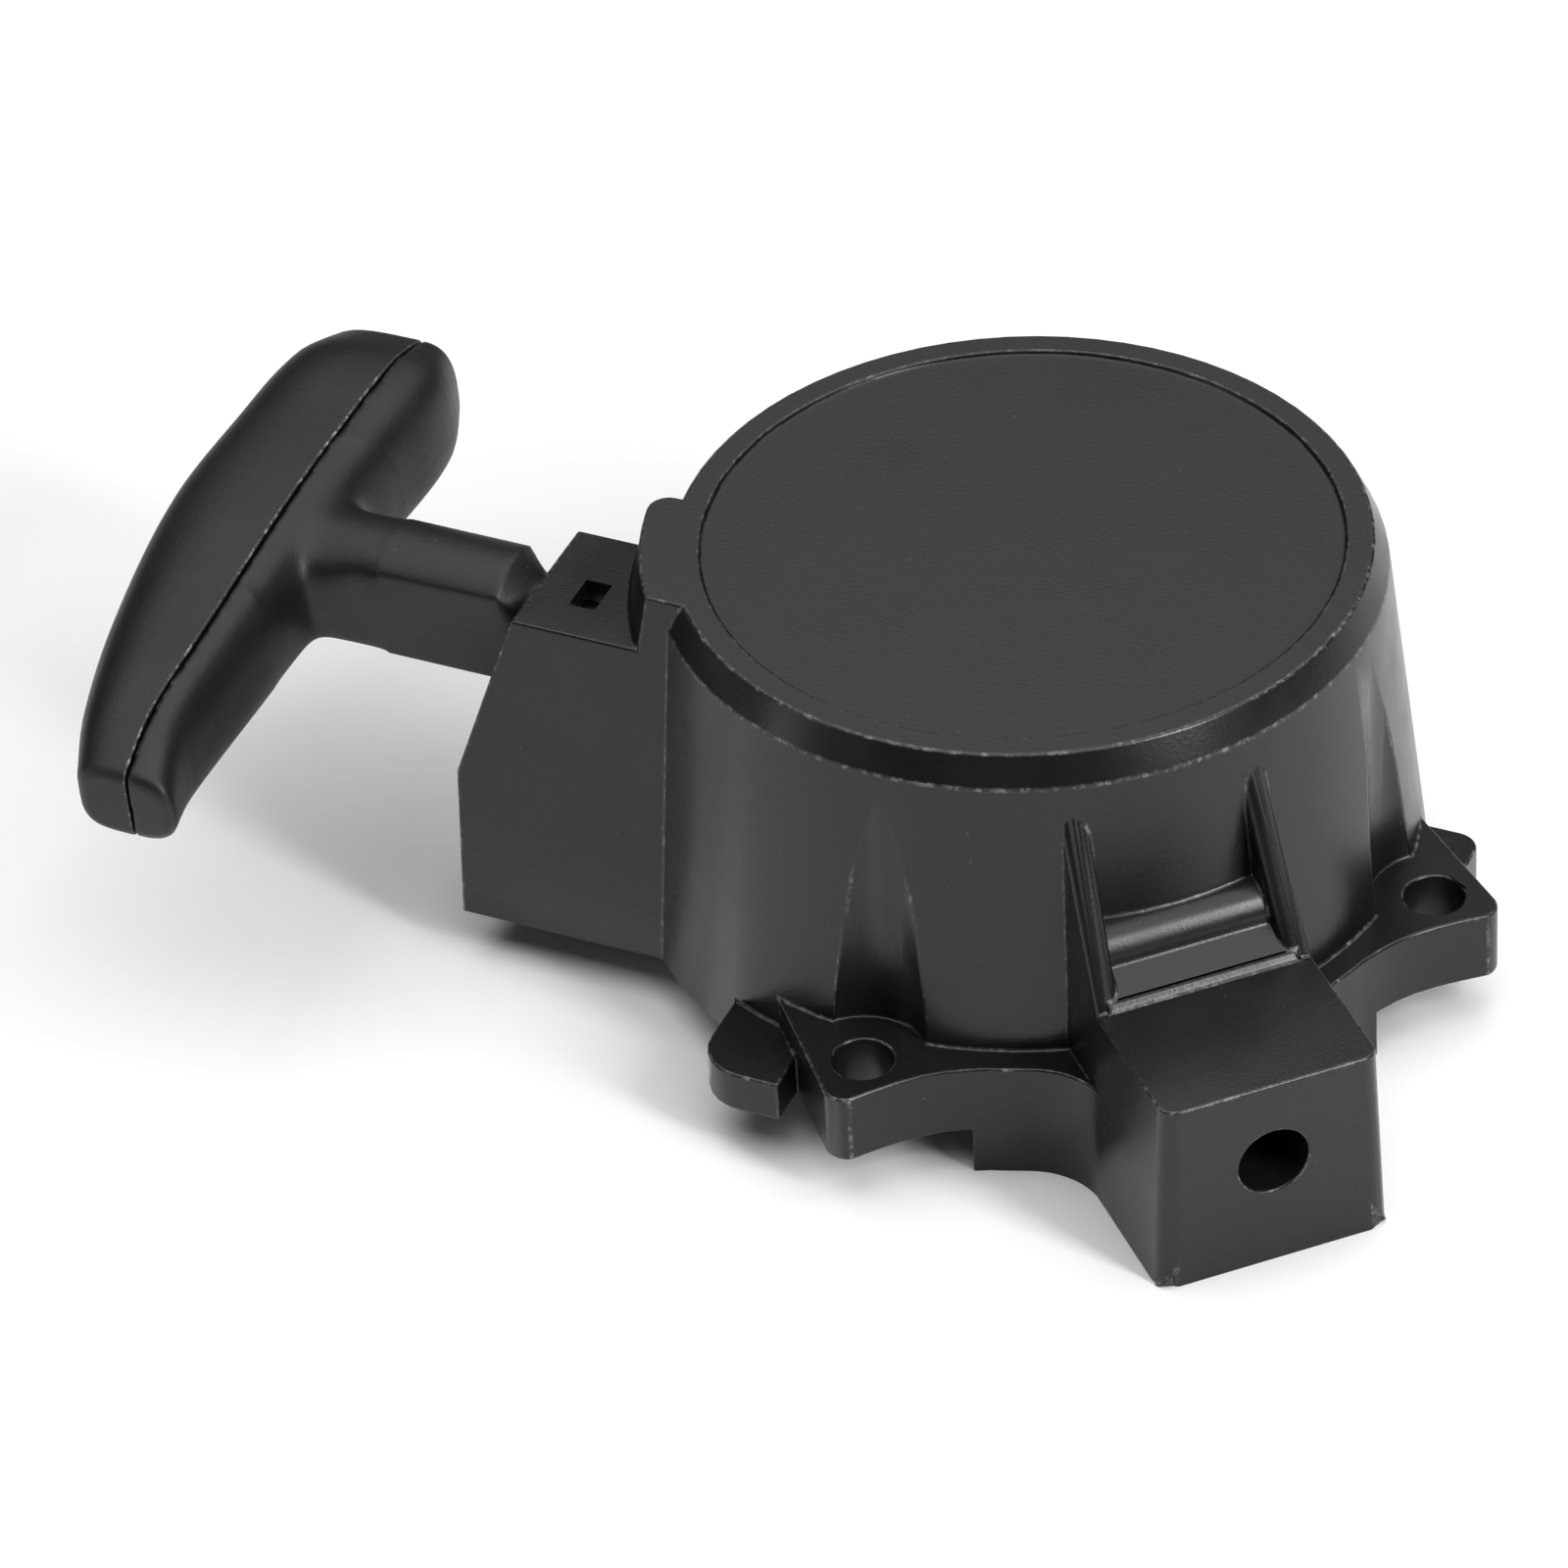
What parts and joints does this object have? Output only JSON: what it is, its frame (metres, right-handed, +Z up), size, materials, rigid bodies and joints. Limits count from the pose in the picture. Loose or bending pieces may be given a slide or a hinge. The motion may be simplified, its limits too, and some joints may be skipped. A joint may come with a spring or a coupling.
{
  "type": "recoil starter",
  "caption": "Pull-rope recoil starter for a small engine: moulded housing with rope outlet, side lug and mounting ears, T-handle, and the reel, spring and dogs inside.",
  "frame": {"origin": "on the reel's axis, level with the lowest face of the skirt and the side lug", "axes": "+Z up along the reel's axis towards the closed top, -X the way the rope leaves, the side lug points along +X -Y"},
  "size_m": [0.1736, 0.1264, 0.057],
  "materials": {
    "housing_plastic": "satin black moulded nylon",
    "grip_plastic": "fine-textured black moulded plastic",
    "reel_nylon": "natural nylon",
    "rope_fibre": "braided rope",
    "spring_steel": "oiled spring strip",
    "bush_steel": "polished by the rope",
    "hard_steel": "stamped hardened steel",
    "zinc_steel": "zinc plated"
  },
  "bodies": {
    "housing": {"housing": "housing_plastic", "rope_bush": "bush_steel", "rope_run": "rope_fibre", "recoil_spring": "spring_steel", "centre_screw": "zinc_steel", "centre_washer": "zinc_steel", "brake_spring": "zinc_steel"},
    "pull_rope": {"rope_lead": "rope_fibre", "handle_knot": "rope_fibre", "knot_washer": "zinc_steel"},
    "grip": {"handle_body": "grip_plastic", "handle_cap": "grip_plastic"},
    "reel": {"reel": "reel_nylon", "rope_wound": "rope_fibre", "reel_knot": "rope_fibre", "dog_pin_a": "zinc_steel", "dog_pin_b": "zinc_steel", "dog_return_spring": "zinc_steel"},
    "guide": {"ratchet_guide": "hard_steel"},
    "dog_a": {"dog_a": "hard_steel"},
    "dog_b": {"dog_b": "hard_steel"}
  },
  "joints": [
    {"name": "handle_pull", "type": "slide", "parent": "housing", "child": "pull_rope", "axis": [-1, 0, 0], "range_m": [0, 0.62], "stiffness_N_per_m": 21, "springref_m": -0.5, "deforming": ["rope_lead"]},
    {"name": "handle_twist", "type": "hinge", "parent": "pull_rope", "child": "grip", "pos_m": [-0.09, -0.0186, 0.0429], "axis": [-1, 0, 0], "continuous": true},
    {"name": "reel_spin", "type": "hinge", "parent": "housing", "child": "reel", "pos_m": [0, 0, 0.044], "axis": [0, 0, -1], "range_deg": [0, 1400]},
    {"name": "guide_turn", "type": "hinge", "parent": "reel", "child": "guide", "pos_m": [0, 0, 0.0345], "axis": [0, 0, 1], "range_deg": [0, 28], "stiffness_Nm_per_rad": 0.004},
    {"name": "dog_a_swing", "type": "hinge", "parent": "reel", "child": "dog_a", "pos_m": [0.017, 0, 0.0374], "axis": [0, 0, 1], "range_deg": [0, 30]},
    {"name": "dog_b_swing", "type": "hinge", "parent": "reel", "child": "dog_b", "pos_m": [-0.017, 0, 0.0374], "axis": [0, 0, 1], "range_deg": [0, 30]}
  ],
  "couplings": [
    {"joint": "reel_spin", "follows": "handle_pull", "rad_per_m": 38.6},
    {"joint": "dog_a_swing", "follows": "guide_turn", "ratio": 1.05},
    {"joint": "dog_b_swing", "follows": "guide_turn", "ratio": 1.05}
  ]
}
